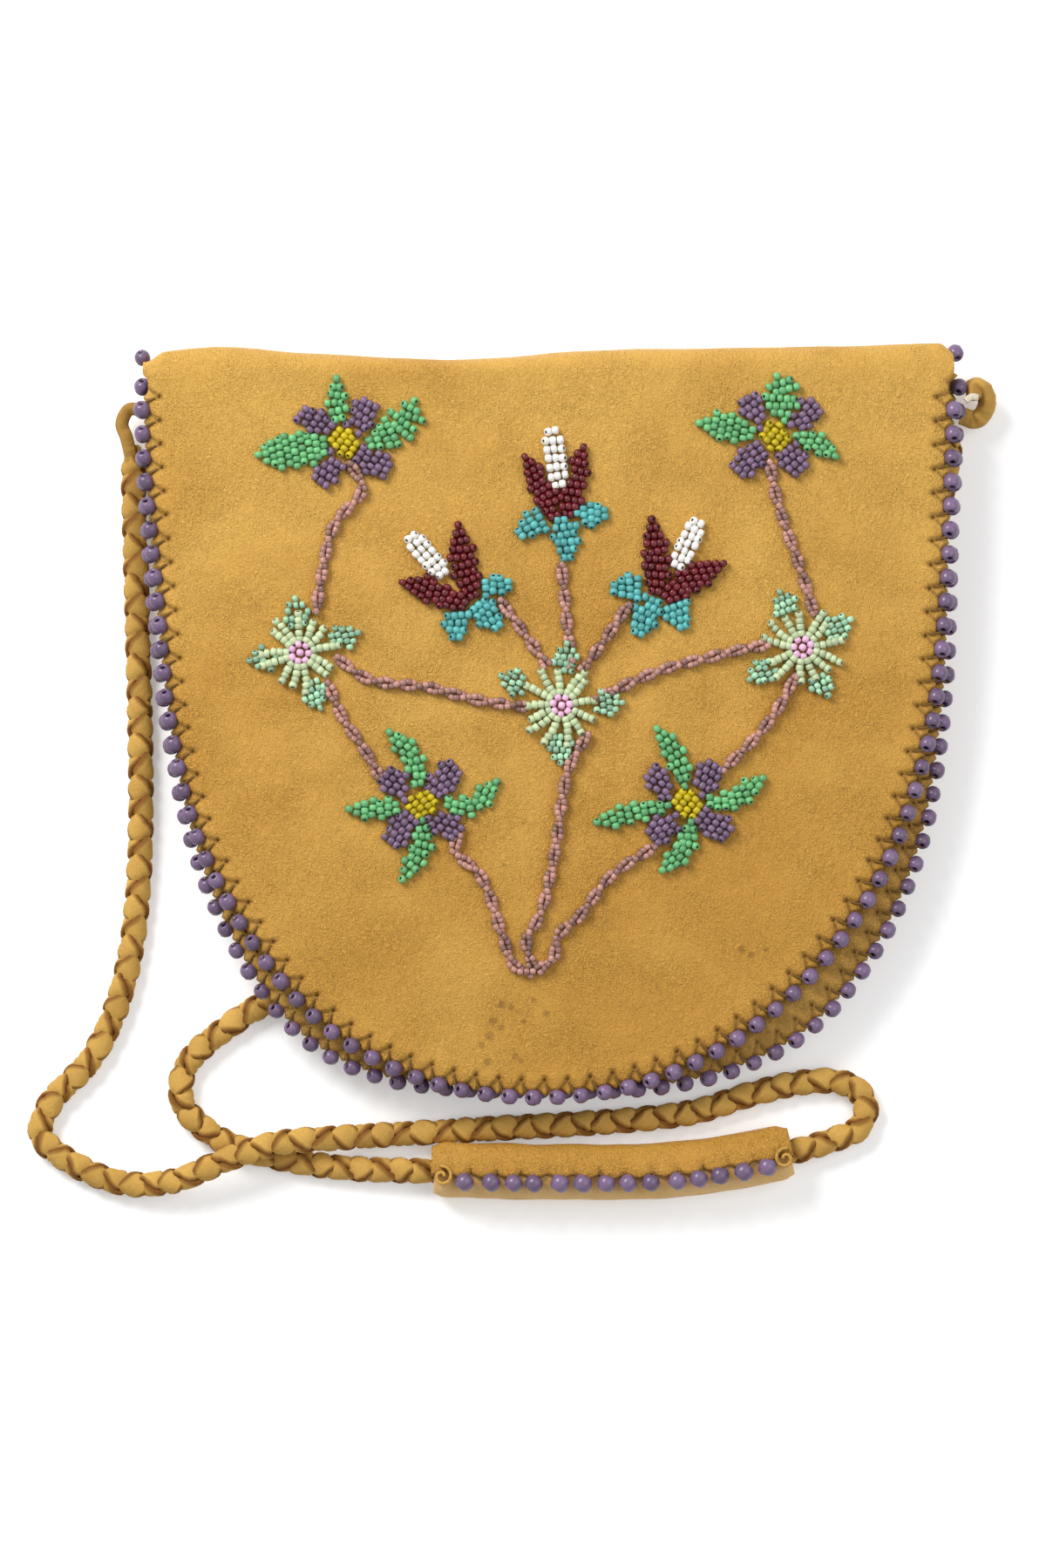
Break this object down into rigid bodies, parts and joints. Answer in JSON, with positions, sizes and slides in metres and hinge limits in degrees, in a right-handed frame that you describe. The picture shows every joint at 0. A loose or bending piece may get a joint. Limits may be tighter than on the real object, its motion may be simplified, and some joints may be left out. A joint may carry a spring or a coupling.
{
  "type": "beaded shoulder bag",
  "caption": "Round-bottomed leather shoulder bag with a hinged flap, floral beadwork, beaded whipstitched edges and a braided strap with a padded sleeve.",
  "frame": {"origin": "on the surface the bag lies on, under the middle of the bag without its strap", "axes": "+X across the bag to its right as seen from the front, +Y towards the fold at its top, +Z out of the flap"},
  "size_m": [0.2335, 0.2067, 0.0215],
  "materials": {
    "leather": "soft golden smoked hide with fine grain and light stains",
    "lace": "golden lace with rough brown edges",
    "thong": "pale undyed hide",
    "edge_beads": "opaque satin grey purple glass",
    "purple_beads": "opaque satin dusky purple glass",
    "green_beads": "translucent bright green glass",
    "yellow_beads": "opaque yellow glass",
    "maroon_beads": "deep transparent maroon glass",
    "white_beads": "opaque white glass",
    "turquoise_beads": "opaque turquoise glass",
    "pale_green_beads": "pale green glass with a soft shine",
    "pink_beads": "opaque pale pink glass",
    "stem_beads": "tiny translucent mauve brown glass"
  },
  "bodies": {
    "bag": {"back_panel": "leather", "front_panel": "leather", "flap_fold": "leather", "body_edge_beads": "edge_beads", "strap": "lace", "strap_loop": "lace", "strap_knot": "lace", "knot_thong": "thong", "shoulder_pad": "leather", "pad_beads": "edge_beads"},
    "flap": {"flap": "leather", "flap_edge_beads": "edge_beads", "upper_left_petals": "purple_beads", "upper_right_petals": "purple_beads", "lower_left_petals": "purple_beads", "lower_right_petals": "purple_beads", "upper_left_flower_centre": "yellow_beads", "upper_right_flower_centre": "yellow_beads", "lower_left_flower_centre": "yellow_beads", "lower_right_flower_centre": "yellow_beads", "middle_bud_bar": "white_beads", "left_bud_bar": "white_beads", "right_bud_bar": "white_beads", "middle_bud_cup": "maroon_beads", "left_bud_cup": "maroon_beads", "right_bud_cup": "maroon_beads", "middle_bud_calyx": "turquoise_beads", "left_bud_calyx": "turquoise_beads", "right_bud_calyx": "turquoise_beads", "left_rosette": "pale_green_beads", "middle_rosette": "pale_green_beads", "right_rosette": "pale_green_beads", "left_rosette_centre": "pink_beads", "middle_rosette_centre": "pink_beads", "right_rosette_centre": "pink_beads", "upper_left_leaf_left": "green_beads", "upper_left_leaf_top": "green_beads", "upper_left_leaf_right": "green_beads", "upper_right_leaf_top": "green_beads", "upper_right_leaf_right": "green_beads", "upper_right_leaf_left": "green_beads", "lower_left_leaf_top": "green_beads", "lower_left_leaf_right": "green_beads", "lower_left_leaf_bottom": "green_beads", "lower_left_leaf_left": "green_beads", "lower_right_leaf_top": "green_beads", "lower_right_leaf_right": "green_beads", "lower_right_leaf_bottom": "green_beads", "lower_right_leaf_left": "green_beads", "upper_left_stem": "stem_beads", "upper_right_stem": "stem_beads", "middle_bud_stem": "stem_beads", "left_bud_stem": "stem_beads", "right_bud_stem": "stem_beads", "left_link_stem": "stem_beads", "right_link_stem": "stem_beads", "lower_left_stem": "stem_beads", "lower_right_stem": "stem_beads", "foot_stem": "stem_beads"}
  },
  "joints": [
    {"name": "flap_hinge", "type": "hinge", "parent": "bag", "child": "flap", "pos_m": [0, 0.084, 0.00807], "axis": [-1, 0, 0], "range_deg": [0, 150], "deforming": ["flap_fold"]}
  ]
}
